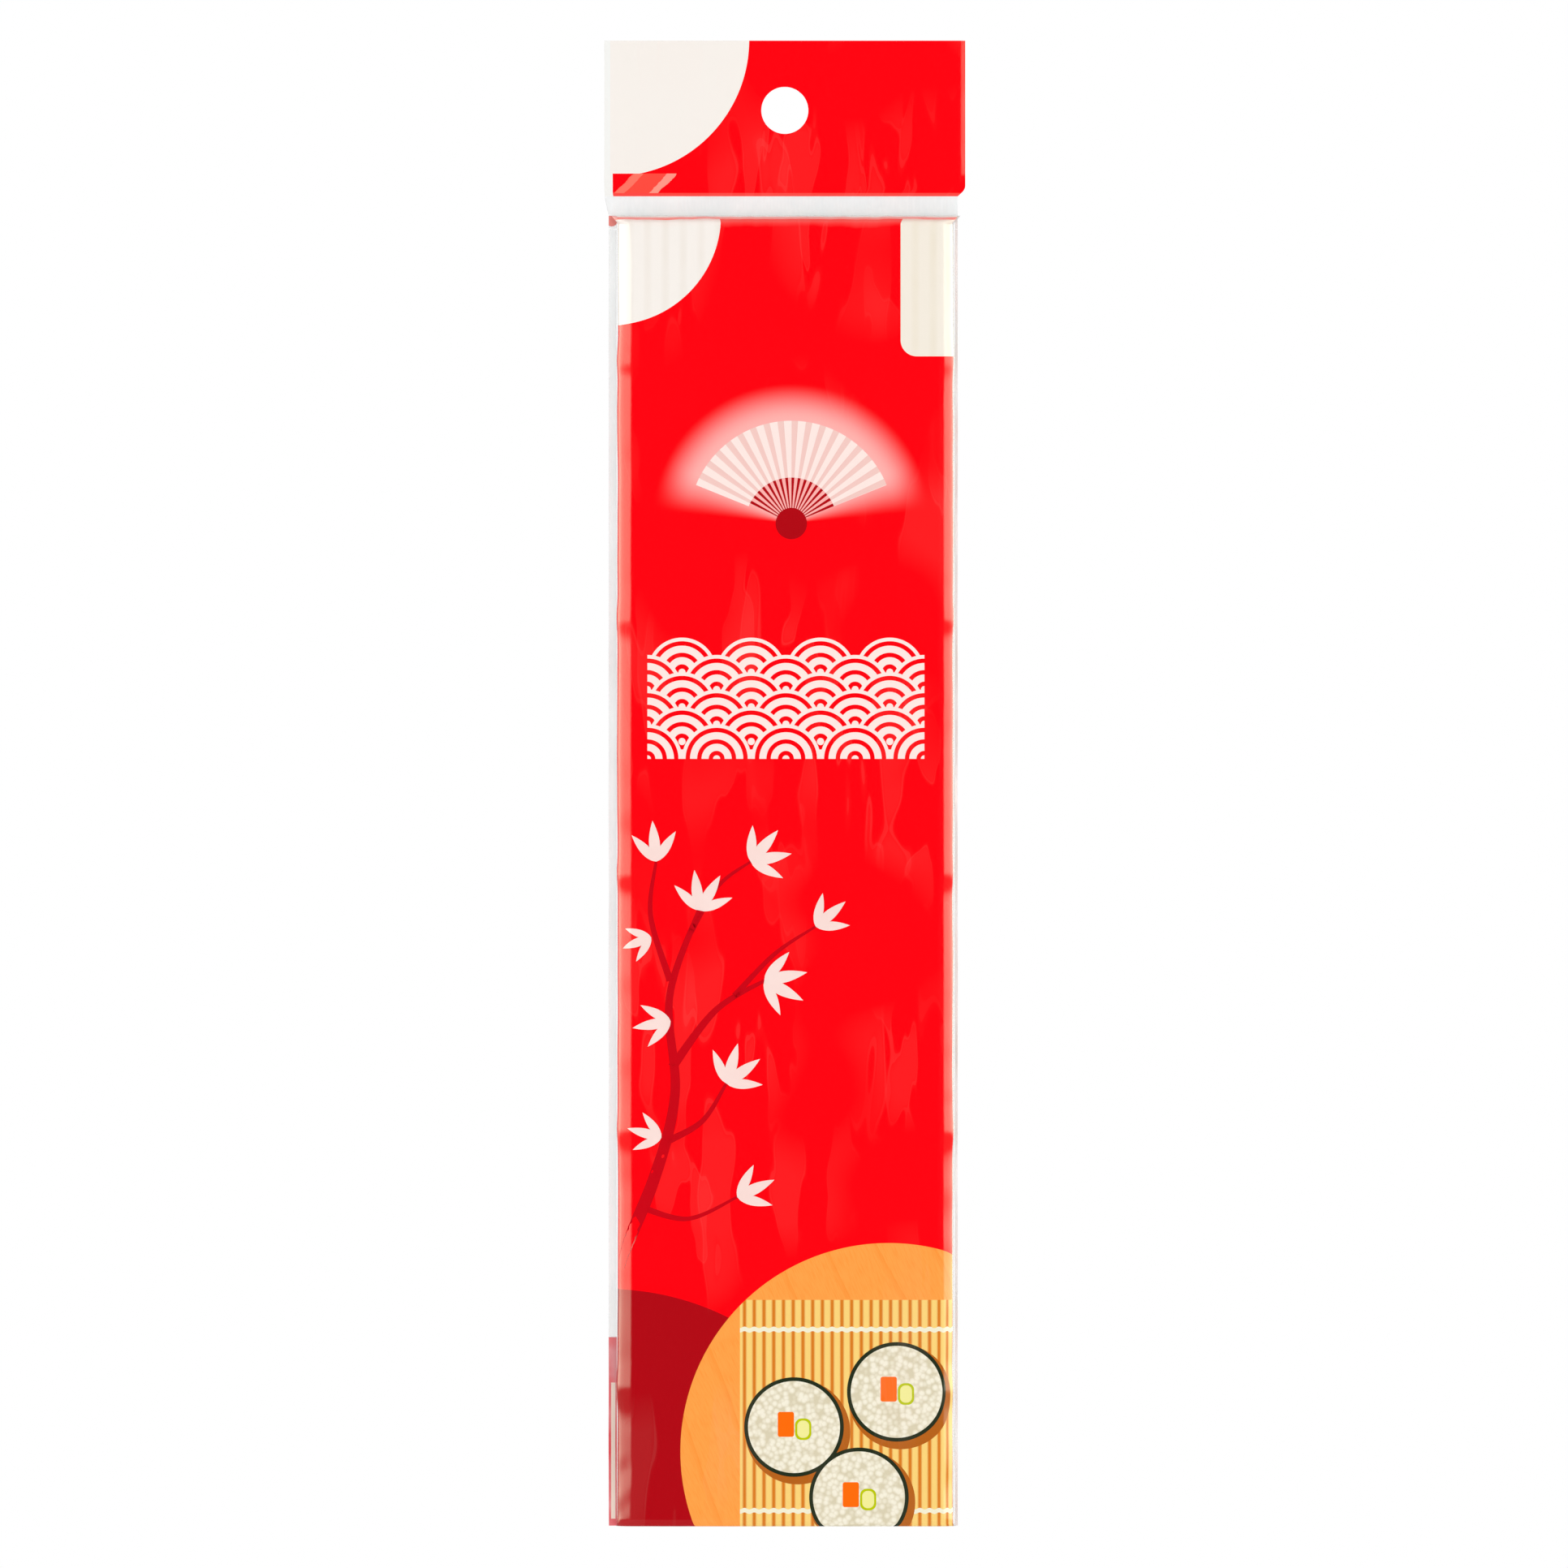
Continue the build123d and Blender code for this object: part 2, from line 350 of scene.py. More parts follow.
def fanPrint(tree, place, under, c, k):
    # an open folding fan: pale pleats over dark sticks, with a soft blush around it
    outer, spread = k["outer"], k["spread"]
    away = vectorMaths(tree, "SUBTRACT", place, (*k["centre"], 0))[0]
    length = vectorMaths(tree, "LENGTH", away)["Value"]
    axes = axesOf(tree, away)
    angle = maths(tree, "ARCTAN2", axes["X"], axes["Y"])
    swing = maths(tree, "ABSOLUTE", angle)
    opened = maths(tree, "LESS_THAN", swing, spread)
    halo = fadeBetween(tree, length, outer + k["halo"], outer, 0.0, k["haloStrength"], "SMOOTHSTEP")
    fade = fadeBetween(tree, swing, spread * k["haloFade"][0], spread * k["haloFade"][1], way="SMOOTHSTEP")
    colour = layInk(tree, under, both(tree, halo, fade), c["blush"])
    insideOuter = maths(tree, "LESS_THAN", length, outer)
    pastInner = maths(tree, "GREATER_THAN", length, k["inner"])
    turn = math.pi * k["pleats"] / spread
    wave = maths(tree, "SINE", maths(tree, "MULTIPLY", angle, turn))
    stick = maths(tree, "GREATER_THAN", wave, k["stickLevel"])
    body = both(tree, insideOuter, opened)
    colour = layInk(tree, colour, both(tree, body, stick), c["deepRed"])
    leaf = layInk(tree, linearColour(c["blush"]), both(tree, stick, pastInner), c["pleatShade"])
    colour = layInk(tree, colour, both(tree, body, pastInner), leaf)
    return layInk(tree, colour, printedDisc(tree, place, k["centre"], k["pivot"]), c["deepRed"])


waveDrawing = {
    "radius": 6.4,
    "rows": 6,
    "top": -104.0,
    "half": 25.6,
    "rings": 3,
    "ringLevel": -0.35,  # of a ring's wave
    "clearOfZero": 20,  # scales by which the row is shifted, so that it never counts backwards
}


def wavePrint(tree, place, under, c, k):
    # the traditional overlapping wave scales, drawn row by row from the back to the front
    radius = k["radius"]
    foot = k["top"] - (k["rows"] - 1) * radius / 2
    turn = 2 * math.pi * k["rings"]
    axes = axesOf(tree, place)
    within = maths(tree, "ABSOLUTE", axes["X"])
    band = maths(tree, "LESS_THAN", within, k["half"])
    aboveFoot = maths(tree, "GREATER_THAN", axes["Y"], foot)
    band = both(tree, band, aboveFoot)
    colour = under
    for row in range(k["rows"]):
        shift = radius * (row % 2 + k["clearOfZero"])
        level = k["top"] - row * radius / 2
        along = maths(tree, "ADD", axes["X"], shift)
        local = maths(tree, "FLOORED_MODULO", along, 2 * radius)
        height = maths(tree, "SUBTRACT", axes["Y"], level)
        spot = addNode(tree, "ShaderNodeCombineXYZ", {0: local, 1: height})[0]
        away = vectorMaths(tree, "DISTANCE", spot, (radius, 0, 0))
        share = maths(tree, "DIVIDE", away["Value"], radius)
        inside = maths(tree, "LESS_THAN", share, 1.0)
        rings = maths(tree, "MULTIPLY", share, turn)
        wave = maths(tree, "COSINE", rings)
        pale = maths(tree, "GREATER_THAN", wave, k["ringLevel"])
        scale = layInk(tree, linearColour(c["red"]), pale, c["blush"])
        colour = layInk(tree, colour, both(tree, inside, band), scale)
    return colour


boardDrawing = {
    "centre": (19.0, -248.0),
    "radius": 38.5,
    "grainTurn": math.radians(-24),
    "ringPitch": 8.976,
    "ringFade": (0.86, 1.0),
    "ringStrength": 0.4,
    "pore": (0.2, 2.857),  # width and length
    "poreFade": (0.45, 1.1),
    "mat": ((16.0, -245.0), (24.5, 25.0), 0.6),
    "slatPitch": 1.8,
    "slatFade": (-0.9, 0.1),
    "cordLevels": (-225.5, -259.0),
    "cordHalf": 0.42,
    "cordSway": 0.14,
    "riceGrain": 0.9091,
    "riceFade": (0.3, 0.8),
    "rolls": [(1.5, -243.5), (20.5, -237.0), (13.5, -256.5)],
    "rollRadius": 9.2,
    "seaweed": 0.7,
    "shadow": (0.7, -0.9, 0.5),  # its shift, and how much larger it is
    "fillings": [
        [(-1.5, 0.5), (1.5, 2.3), 0.4, "carrot"],
        [(1.7, -0.4), (1.5, 2.0), 1.2, "cucumberSkin"],
        [(1.7, -0.4), (1.1, 1.6), 1.0, "cucumber"],
    ],
}


def boardPrint(tree, place, under, c, k):
    # a round wooden board with a small upright mat and cut rolls on it
    leaning = addNode(tree, "ShaderNodeMapping", {0: place, "Rotation": (0, 0, k["grainTurn"])})[0]
    rings = addNode(tree, "ShaderNodeTexWave",
                    {"Vector": leaning, "Scale": waveScale / k["ringPitch"], "Distortion": 9.0,
                     "Detail": 2.0, "Detail Scale": 0.25}, bands_direction="X", wave_profile="SAW")[0]
    line = fadeBetween(tree, rings, *k["ringFade"])
    poreScale = (1 / k["pore"][0], 1 / k["pore"][1], 1)
    pores = addNode(tree, "ShaderNodeMapping", {0: leaning, "Scale": poreScale})[0]
    fleck = cloudNoise(tree, pores, 1.0, 3.0)
    wood = layInk(tree, linearColour(c["board"]), fadeBetween(tree, fleck, *k["poreFade"]), c["boardGrain"])
    wood = layInk(tree, wood, both(tree, line, k["ringStrength"]), c["boardGrain"])
    board = printedDisc(tree, place, k["centre"], k["radius"])
    colour = layInk(tree, under, board, wood)
    axes = axesOf(tree, place)
    turn = 2 * math.pi / k["slatPitch"]
    wave = maths(tree, "SINE", maths(tree, "MULTIPLY", axes["X"], turn))
    shade = fadeBetween(tree, wave, *k["slatFade"], 1.0, 0.0)
    slats = layInk(tree, linearColour(c["slat"]), shade, c["slatGap"])
    height = maths(tree, "MULTIPLY_ADD", wave, k["cordSway"], axes["Y"])
    for level in k["cordLevels"]:
        cordMask = maths(tree, "COMPARE", height, level, k["cordHalf"])
        slats = layInk(tree, slats, cordMask, c["cord"])
    mat = both(tree, printedTab(tree, place, *k["mat"]), board)
    colour = layInk(tree, colour, mat, slats)
    grains = addNode(tree, "ShaderNodeTexVoronoi", {"Vector": place, "Scale": 1 / k["riceGrain"]})["Distance"]
    rice = layInk(tree, linearColour(c["rice"]), fadeBetween(tree, grains, *k["riceFade"]), c["riceShade"])
    aside, down, larger = k["shadow"]
    for x, z in k["rolls"]:
        fallen = printedDisc(tree, place, (x + aside, z + down), k["rollRadius"] + larger)
        colour = layInk(tree, colour, both(tree, fallen, board), c["boardShadow"])
        colour = layInk(tree, colour, printedDisc(tree, place, (x, z), k["rollRadius"]), c["seaweed"])
        colour = layInk(tree, colour, printedDisc(tree, place, (x, z), k["rollRadius"] - k["seaweed"]), rice)
        for (right, up), half, corner, ink in k["fillings"]:
            piece = printedTab(tree, place, (x + right, z + up), half, corner)
            colour = layInk(tree, colour, piece, c[ink])
    return colour


filmTop = {
    "level": -18.3,
    "sway": 2.4,
    "swayWidth": 9.091,
    "lineHalf": 0.8,
    # the haze and line below the print's edge are partly painted highlight on the shoulder's bend
    "haze": (-3.4, 0.3),  # from the level
    "highlightHazeStrength": 0.35,
    "scrap": ((-32.6, -17.2), 1.9),
}


def topPrint(tree, place, under, c, k):
    # just below the seal the two films' prints end unevenly, one showing pink behind the other; the pale pink
    # haze and line along that edge also paint the highlight where the film bends round its shoulder
    stretched = addNode(tree, "ShaderNodeMapping", {0: place, "Scale": (1 / k["swayWidth"], 0.0, 1)})[0]
    swing = cloudNoise(tree, stretched, 1.0, 3.0)
    axes = axesOf(tree, place)
    height = maths(tree, "MULTIPLY_ADD", swing, k["sway"], axes["Y"])
    level = k["level"] + k["sway"] / 2
    haze = fadeBetween(tree, height, level + k["haze"][0], level + k["haze"][1])
    colour = layInk(tree, under, both(tree, haze, k["highlightHazeStrength"]), c["topHazeHighlight"])
    above = maths(tree, "GREATER_THAN", height, level)
    colour = layInk(tree, colour, above, c["topFilm"])
    line = maths(tree, "COMPARE", height, level, k["lineHalf"])
    colour = layInk(tree, colour, line, c["topEdgeHighlight"])
    return layInk(tree, colour, printedDisc(tree, place, *k["scrap"]), c["topScrap"])


ground = {
    "foot": ((-33.0, -268.0), 50.0),
    "disc": ((-32.3, -19.5), 20.3),
    "tab": ((36.2, -25.6), (15.0, 20.0), 3.0),
    "backPanel": ((0.0, -118.0), (23.0, 66.0), 3.0),
}


def frontPrint(tree, place, c):
    colour = linearColour(c["red"])
    colour = layInk(tree, colour, printedDisc(tree, place, *ground["foot"]), c["deepRed"])
    colour = fanPrint(tree, place, colour, c, fanDrawing)
    colour = wavePrint(tree, place, colour, c, waveDrawing)
    colour = boardPrint(tree, place, colour, c, boardDrawing)
    milk = slatShade(tree, place, c["milk"], c["milkShade"], slatShadow)
    cream = slatShade(tree, place, c["cream"], c["creamShade"], slatShadow)
    colour = layInk(tree, colour, printedDisc(tree, place, *ground["disc"]), milk)
    colour = layInk(tree, colour, printedTab(tree, place, *ground["tab"]), cream)
    return topPrint(tree, place, colour, c, filmTop)


def backPrint(tree, place, c):
    cream = slatShade(tree, place, c["cream"], c["creamShade"], slatShadow)
    return layInk(tree, linearColour(c["red"]), printedTab(tree, place, *ground["backPanel"]), cream)


headerDrawing = {
    "disc": ((-31.9, 13.1), 25.3),
    "strip": -11.7,  # below this the left edge steps in and the folds begin
    "stripStep": 0.45,
    "margin": -32.3,
    "foot": -15.3,
    "crinkle": 1.818,
    "crinkleSway": 1.4,
    "foldHighlights": [  # middle, half width, strength and painted highlight colour of each
        (-11.7, 3.6, 0.5, "#FF6A58"),
        (-14.6, 1.0, 0.7, "#FF8470"),
        (-8.4, 0.85, 0.85, "#FFA392"),
    ],
}


def headerPrint(tree, place, c):
    k = headerDrawing
    axes = axesOf(tree, place)
    aboveStrip = maths(tree, "GREATER_THAN", axes["Y"], k["strip"])
    disc = both(tree, printedDisc(tree, place, *k["disc"]), aboveStrip)
    colour = layInk(tree, linearColour(c["red"]), disc, c["milk"])
    # the folded lower left corner, where a second layer of film lies in slanting folds whose shine is painted
    # as paler pink stripes
    belowStrip = maths(tree, "LESS_THAN", axes["Y"], k["strip"])
    crinkle = cloudNoise(tree, place, k["crinkle"], 3.0)
    slide = maths(tree, "MULTIPLY_ADD", axes["Y"], -1.0, axes["X"])
    lean = maths(tree, "MULTIPLY_ADD", crinkle, k["crinkleSway"], slide)
    for middle, half, strength, ink in k["foldHighlights"]:
        foldHighlight = maths(tree, "COMPARE", lean, middle, half)
        colour = layInk(tree, colour, both(tree, both(tree, foldHighlight, strength), belowStrip), ink)
    foot = maths(tree, "LESS_THAN", axes["Y"], k["foot"])
    colour = layInk(tree, colour, foot, c["headerFoot"])
    edge = maths(tree, "MULTIPLY_ADD", belowStrip, -k["stripStep"], axes["X"])
    margin = maths(tree, "LESS_THAN", edge, k["margin"])
    return layInk(tree, colour, margin, c["headerMargin"])


# Printed film: cast polypropylene, printed on its inner face. Clear gloss over flat, deep ink, bright bands
# where it bends, and fine pulled creases with faint painted highlights along them.
filmFinish = {
    "roughness": 0.09,
    "ior": 1.49,
    "crease": (2.0, 16.67),  # width and length in mm
    "creaseLean": math.radians(28),
    "creaseStrength": 0.5,
    "creaseDepth": 0.05 * mm,
    "bareInk": "#EEF0EC",
    "bareAlpha": 0.14,
    "printLeft": -33.2,
    "printRight": 31.9,
    "edgeWander": 0.9,
    "wanderLength": 20.0,
    "creaseHighlightPatch": 30.0,  # mm between the patches with painted crease highlights
    "patchFade": (0.44, 0.6),
    "creaseHighlightStreaks": [(math.radians(24), 11.0, 52.0), (math.radians(-30), 7.0, 30.0)],  # lean, spacing and length of each painted highlight streak
    # painted highlights along pulled creases: pale smears and a paler line, laid at this share in this colour
    "highlightSmear": (0.54, 0.58),
    "line": 0.56,
    "lineHalf": 0.006,
    "creaseHighlightShare": 0.017,
    "creaseHighlightColour": "#FFD2C8",
}


def paintedCreaseHighlights(tree, place, colour, f):
    # painted highlights: where pulled film lies off the roll, long faint smears are painted paler, with a
    # paler line along some of their edges
    calm = cloudNoise(tree, place, f["creaseHighlightPatch"], 1.0)
    patch = fadeBetween(tree, calm, *f["patchFade"])
    for angle, width, length in f["creaseHighlightStreaks"]:
        leaning = addNode(tree, "ShaderNodeMapping",
                          {0: place, "Rotation": (0, 0, angle), "Scale": (1 / width, 1 / length, 1)})[0]
        swell = cloudNoise(tree, leaning, 1.0, 2.0, 0.3)
        line = maths(tree, "COMPARE", swell, f["line"], f["lineHalf"])
        highlightSmear = fadeBetween(tree, swell, *f["highlightSmear"])
        creaseHighlight = maths(tree, "ADD", line, highlightSmear)
        share = both(tree, both(tree, creaseHighlight, patch), f["creaseHighlightShare"])
        colour = layInk(tree, colour, share, f["creaseHighlightColour"])
    return colour


def filmMaterial(name, paint, f, clearEdges):
    material, tree, shader = newMaterial(name)
    place = addNode(tree, "ShaderNodeUVMap", uv_map="print")[0]
    # the print, with painted crease highlights laid over it
    colour = paintedCreaseHighlights(tree, place, paint(tree, place, printColours), f)
    if clearEdges:
        halfWander = f["edgeWander"] / 2
        wander = cloudNoise(tree, place, f["wanderLength"], 1.0)
        across = axesOf(tree, place)["X"]
        along = maths(tree, "MULTIPLY_ADD", wander, f["edgeWander"], across)
        left = maths(tree, "GREATER_THAN", along, f["printLeft"] + halfWander)
        right = maths(tree, "LESS_THAN", along, f["printRight"] + halfWander)
        printed = both(tree, left, right)
        colour = layInk(tree, linearColour(f["bareInk"]), printed, colour)
        feed(tree, shader, {"Alpha": fadeBetween(tree, printed, 0.0, 1.0, f["bareAlpha"], 1.0)})
    width, length = f["crease"]
    turned = addNode(tree, "ShaderNodeMapping",
                     {0: place, "Rotation": (0, 0, f["creaseLean"]), "Scale": (1 / width, 1 / length, 1)})[0]
    crease = cloudNoise(tree, turned, 1.0, 4.0, 0.6)
    feed(tree, shader, {"Base Color": colour, "Roughness": f["roughness"], "IOR": f["ior"],
                        "Normal": raised(tree, crease, f["creaseStrength"], f["creaseDepth"])})
    return material


# Clear film: the same cast polypropylene with no ink. See-through with a fine wrinkled shine, slightly milky
# where two films are welded, and nearly white in the seal, whose ribs scatter the light.
clearFinish = {
    "right": ("#FBDDD6", 0.5),  # colour and alpha
    "left": ("#F4F8F8", 0.4),
    "seal": ("#F6FCFD", 0.9),
    "welded": "#FFFFFF",
    "roughness": 0.2,
    "ior": 1.49,
    "haze": 11.11 * mm,
    "hazeFade": (0.35, 0.7),
    "clearest": 0.8,  # of the alpha
    "toneFade": (0.3, 0.7),
    "crease": 2.381 * mm,
    "creaseStrength": 0.22,
    "creaseDepth": 0.05 * mm,
    "footLevel": -227.0 * mm,
    "footInk": "#F2505A",
    "smudge": (0.42, 0.6, 1.0, 0.7),  # between these levels of haze its strength falls by this much
    "slatEdge": (-31.75 * mm, 0.4 * mm),  # middle and half width
    "slatRun": (-248.0 * mm, 12.6 * mm),  # middle and half length
    "slatInk": "#FFE9DA",
    "scrap": (-32.0 * mm, 0, -20.3 * mm),
    "scrapRadius": 2.2 * mm,
    "scrapInk": "#F79088",
}


def clearFilmMaterial(name, colour, alpha, inkOn=None):
    f = clearFinish
    material, tree, shader = newMaterial(name)
    place = addNode(tree, "ShaderNodeTexCoord")["Object"]
    haze = cloudNoise(tree, place, f["haze"], 3.0)
    cloudy = fadeBetween(tree, haze, *f["hazeFade"], alpha * f["clearest"], alpha)
    paint = layInk(tree, linearColour(colour), fadeBetween(tree, haze, *f["toneFade"]), f["welded"])
    if inkOn:
        paint, printed = inkOn(tree, place, haze, paint, f)
        cloudy = maths(tree, "MAXIMUM", cloudy, printed)
    crease = cloudNoise(tree, place, f["crease"], 3.0)
    feed(tree, shader, {"Base Color": paint, "Alpha": cloudy, "Roughness": f["roughness"], "IOR": f["ior"],
                        "Normal": raised(tree, crease, f["creaseStrength"], f["creaseDepth"])})
    return material


def footInk(tree, place, haze, paint, f):
    # near the foot the print runs out over the weld, and the edge of one slat shows pale behind it
    axes = axesOf(tree, place)
    printed = maths(tree, "LESS_THAN", axes["Z"], f["footLevel"])
    smudge = fadeBetween(tree, haze, *f["smudge"])
    paint = layInk(tree, paint, both(tree, printed, smudge), f["footInk"])
    (x, halfWidth), (z, halfLength) = f["slatEdge"], f["slatRun"]
    edge = maths(tree, "COMPARE", axes["X"], x, halfWidth)
    run = maths(tree, "COMPARE", axes["Z"], z, halfLength)
    return layInk(tree, paint, both(tree, edge, run), f["slatInk"]), printed


def shoulderInk(tree, place, haze, paint, f):
    # a scrap of print caught in the weld just under the seal
    away = vectorMaths(tree, "DISTANCE", place, f["scrap"])["Value"]
    ragged = maths(tree, "MULTIPLY_ADD", haze, f["scrapRadius"], away)
    printed = maths(tree, "LESS_THAN", ragged, f["scrapRadius"])
    return layInk(tree, paint, printed, f["scrapInk"]), printed


# Bamboo: split and planed stalk. A satin surface with long fine fibres, darker flecks and slats of slightly
# different tone.
bambooFinish = {
    "pale": "#E9CF97",
    "dark": "#C99F5C",
    "fleckInk": "#8F6A35",
    "fibre": (0.12 * mm, 14 * mm),  # width and length, as for the next two
    "tone": (3.03 * mm, 111.1 * mm),
    "fleck": (0.3846 * mm, 6.25 * mm),
    "toneFade": (0.75, 1.3),
    "fleckFade": (0.66, 0.76),
    "fleckStrength": 0.6,
    "fibreStrength": 0.35,
    "fibreDepth": 0.04 * mm,
    "roughness": 0.48,
    "ior": 1.5,
}


def bambooMaterial(b):
    material, tree, shader = newMaterial("splitBamboo")
    place = addNode(tree, "ShaderNodeTexCoord")["Object"]
    grain = {}
    for key, detail in (("fibre", 3.0), ("tone", 1.0), ("fleck", 2.0)):
        width, length = b[key]
        drawn = addNode(tree, "ShaderNodeMapping", {0: place, "Scale": (1 / width, 1 / width, 1 / length)})[0]
        grain[key] = cloudNoise(tree, drawn, 1.0, detail)
    tone = maths(tree, "ADD", grain["fibre"], grain["tone"])
    colour = layInk(tree, linearColour(b["pale"]), fadeBetween(tree, tone, *b["toneFade"]), b["dark"])
    spotted = fadeBetween(tree, grain["fleck"], *b["fleckFade"], 0.0, b["fleckStrength"])
    colour = layInk(tree, colour, spotted, b["fleckInk"])
    feed(tree, shader, {"Base Color": colour, "Roughness": b["roughness"], "IOR": b["ior"],
                        "Normal": raised(tree, grain["fibre"], b["fibreStrength"], b["fibreDepth"])})
    return material


# Cotton cord: unbleached yarn, twisted from plies. Matt and slightly fuzzy, with slanting lines.
cottonFinish = {
    "pale": "#F3EEDD",
    "shade": "#CFC5A6",
    "plyPitch": 0.4488 * mm,
    "plyLean": math.radians(35),
    "plyStrength": 0.6,
    "plyDepth": 0.06 * mm,
    "roughness": 0.88,
    "sheen": 0.25,
}


def cottonMaterial(c):
    material, tree, shader = newMaterial("twistedCotton")
    place = addNode(tree, "ShaderNodeTexCoord")["Object"]
    slanted = addNode(tree, "ShaderNodeMapping", {0: place, "Rotation": (0, c["plyLean"], 0)})[0]
    strands = addNode(tree, "ShaderNodeTexWave",
                      {"Vector": slanted, "Scale": waveScale / c["plyPitch"], "Distortion": 1.5,
                       "Detail": 2.0}, bands_direction="Z")[0]
    yarn = layInk(tree, linearColour(c["pale"]), strands, c["shade"])
    feed(tree, shader, {"Base Color": yarn, "Roughness": c["roughness"], "Sheen Weight": c["sheen"],
                        "Normal": raised(tree, strands, c["plyStrength"], c["plyDepth"])})
    return material


frontInk = filmMaterial("printedFrontFilm", frontPrint, filmFinish, True)
backInk = filmMaterial("printedBackFilm", backPrint, filmFinish, True)
headerInk = filmMaterial("printedHeaderFilm", headerPrint, filmFinish, False)
clearFilm = clearFilmMaterial("clearPolypropylene", *clearFinish["right"])
leftFilm = clearFilmMaterial("clearPolypropyleneFootPrinted", *clearFinish["left"], footInk)
leftTopFilm = clearFilmMaterial("clearPolypropyleneTopPrinted", *clearFinish["left"], shoulderInk)
sealFilm = clearFilmMaterial("crimpedPolypropylene", *clearFinish["seal"])
bamboo = bambooMaterial(bambooFinish)
cotton = cottonMaterial(cottonFinish)
print("materials made")


# The film bag, as one surface measured flat: s runs across it from the middle, t runs up it

frontLow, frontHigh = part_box("front_film")
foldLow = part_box("bottom_fold")[0]
sealLow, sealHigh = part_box("crimp_seal")
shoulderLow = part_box("front_shoulder")[0]
headerLow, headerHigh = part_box("header_front_film")
rowLevels = [(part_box(f"cord_{n}a")[0].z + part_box(f"cord_{n}b")[1].z) / 2 for n in range(1, 6)]

bag = {
    "middle": (frontLow.x + frontHigh.x) / 2,
    "halfWidth": (frontHigh.x - frontLow.x) / 2,
    "depth": -frontLow.y,
    "corner": 3.85 * mm,
    "bottom": foldLow.z,
    "bottomRound": 0.7 * mm,
    "tear": shoulderLow.z,
    "shoulder": sealLow.z - 1.5 * mm,
    "shoulderRun": 5.3 * mm,
    "sealDepth": 0.2 * mm,
    "slatPitch": 3.3 * mm,
    "wall": 0.12 * mm,
    "cell": (0.62 * mm, 0.868 * mm),  # across and up the mesh
    "shoulderCell": (0.434 * mm, 0.248 * mm),
}
bag["flat"] = bag["halfWidth"] - bag["corner"]
bag["arc"] = bag["corner"] * math.pi / 2
bag["halfGirth"] = bag["flat"] + bag["arc"] + bag["depth"] - bag["corner"]
bag["bottomStart"] = bag["bottom"] + bag["bottomRound"]
bag["bottomRun"] = bag["bottomRound"] * math.pi / 2 + bag["depth"] - bag["bottomRound"]


def acrossFilm(s):
    side = math.copysign(1, s)
    s = abs(s)
    if s <= bag["flat"]:
        return side * s, bag["depth"], 0, 1
    if s <= bag["flat"] + bag["arc"]:
        a = (s - bag["flat"]) / bag["corner"]
        x = bag["flat"] + bag["corner"] * math.sin(a)
        return side * x, bag["depth"] - bag["corner"] * (1 - math.cos(a)), side * math.sin(a), math.cos(a)
    rest = s - bag["flat"] - bag["arc"]
    return side * bag["halfWidth"], bag["depth"] - bag["corner"] - rest, side, 0


def slanting(s, t, width, length, angle, seed):
    # a noise drawn out along a slanting line; as in every noise here, the third number only picks a pattern
    c, n = math.cos(angle), math.sin(angle)
    return noise.noise(Vector(((s * c + t * n) / width, (t * c - s * n) / length, seed)))


ripple = {
    "settle": 0.12 * mm,  # the film lies this far inside the bag's outer size
    "slats": 0.012 * mm,
    "rows": 0.02 * mm,
    "rowWidth": 2.6 * mm,
    "soft": (0.1 * mm, 24 * mm, 48 * mm),  # height, width and length
    "patch": (30 * mm, 26 * mm),  # where the film is creased
    "pulled": (0.1 * mm, 9 * mm, 60 * mm, math.radians(-28), 9),  # then its lean and how sharp it is
    "creased": (0.13 * mm, 4 * mm, 30 * mm, math.radians(14), 14),
    "gathered": (0.14 * mm, 2.2 * mm, 7 * mm),
    "gatheredReach": 4 * mm,
    "crumpled": (0.12 * mm, 3.6 * mm, 4.5 * mm),
    "crumpledFrom": 30 * mm,
    "crumpledReach": (8 * mm, 9 * mm),
    "crumpledLeft": 1.8,  # the left corner is the more crumpled one
    "edgeWave": (0.2 * mm, 21 * mm),
    "edgeFine": (0.3, 7 * mm),  # its share of the wave
    "edgeRows": 0.16 * mm,
    "edgeFade": (0.5, 3.0),  # mm past the flat face where it starts, and over how many
}


def patches(size, s, t, seed):
    return noise.noise(Vector((s / size[0], t / size[1], seed)))


def lumps(shape, s, t, seed):
    height, *size = shape
    return height * patches(size, s, t, seed)


def creases(shape, s, t, seed):
    height, width, length, lean, sharp = shape
    return height * (1 - abs(slanting(s, t, width, length, lean, seed))) ** sharp


